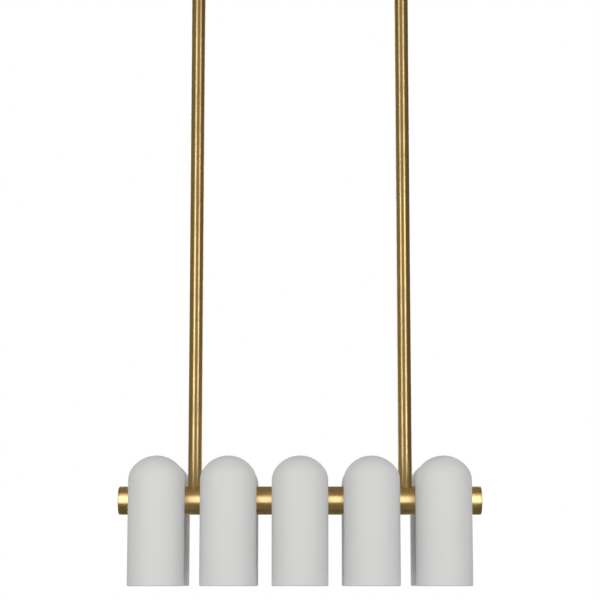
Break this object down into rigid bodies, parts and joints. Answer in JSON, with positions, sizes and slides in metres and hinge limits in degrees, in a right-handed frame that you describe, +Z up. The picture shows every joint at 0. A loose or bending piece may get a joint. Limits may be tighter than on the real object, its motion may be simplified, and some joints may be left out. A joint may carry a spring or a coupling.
{
  "type": "linear island pendant",
  "caption": "Linear island pendant: dome-topped cylindrical shades in rows along a round brass bar, hung from a long ceiling canopy by rod stems with hang-straight swivels.",
  "frame": {"origin": "centre of the mounting plate's box slots, on the ceiling plane", "axes": "+Z up towards the ceiling, +X along the bar, the front of the lamp faces -Y"},
  "size_m": [0.655, 0.2576, 1.1654],
  "materials": {
    "satin_brass": "satin brushed, lacquered",
    "shade_paint": "matt off-white powder coat",
    "opal_glass": "opal, matt",
    "lampholder_plastic": "matt white",
    "terminal_plastic": "matt",
    "zinc_steel": "zinc plated"
  },
  "bodies": {
    "ceiling_mount": {"ceiling_bracket": "zinc_steel", "canopy_cover": "satin_brass", "canopy_chassis": "zinc_steel", "canopy_screws": "satin_brass", "terminal_block": "terminal_plastic", "earth_screw": "satin_brass", "swivel_yoke_left": "satin_brass", "swivel_yoke_right": "satin_brass", "yoke_nuts": "zinc_steel", "swivel_screws": "satin_brass"},
    "pendant": {"bulb_back_1": "opal_glass", "bulb_back_2": "opal_glass", "bulb_back_3": "opal_glass", "bulb_back_4": "opal_glass", "bulb_back_5": "opal_glass", "bulb_front_1": "opal_glass", "bulb_front_2": "opal_glass", "bulb_front_3": "opal_glass", "bulb_front_4": "opal_glass", "bulb_front_5": "opal_glass", "cross_nipples": "zinc_steel", "crossbar": "satin_brass", "end_cap_left": "satin_brass", "end_cap_right": "satin_brass", "lampholder_back_1": "lampholder_plastic", "lampholder_back_2": "lampholder_plastic", "lampholder_back_3": "lampholder_plastic", "lampholder_back_4": "lampholder_plastic", "lampholder_back_5": "lampholder_plastic", "lampholder_brackets": "zinc_steel", "lampholder_front_1": "lampholder_plastic", "lampholder_front_2": "lampholder_plastic", "lampholder_front_3": "lampholder_plastic", "lampholder_front_4": "lampholder_plastic", "lampholder_front_5": "lampholder_plastic", "m10_nuts": "zinc_steel", "rod_couplers": "zinc_steel", "rod_left_1": "satin_brass", "rod_left_2": "satin_brass", "rod_left_3": "satin_brass", "rod_plugs": "zinc_steel", "rod_right_1": "satin_brass", "rod_right_2": "satin_brass", "rod_right_3": "satin_brass", "saddle_washers": "zinc_steel", "shade_back_1": "shade_paint", "shade_back_2": "shade_paint", "shade_back_3": "shade_paint", "shade_back_4": "shade_paint", "shade_back_5": "shade_paint", "shade_front_1": "shade_paint", "shade_front_2": "shade_paint", "shade_front_3": "shade_paint", "shade_front_4": "shade_paint", "shade_front_5": "shade_paint", "shade_saddles": "satin_brass", "stem_nipples": "zinc_steel", "swivel_tongue_left": "satin_brass", "swivel_tongue_right": "satin_brass"}
  },
  "joints": [
    {"name": "hang_swivel", "type": "hinge", "parent": "ceiling_mount", "child": "pendant", "pos_m": [0, 0, -0.049], "axis": [1, 0, 0], "range_deg": [-30, 30]}
  ]
}
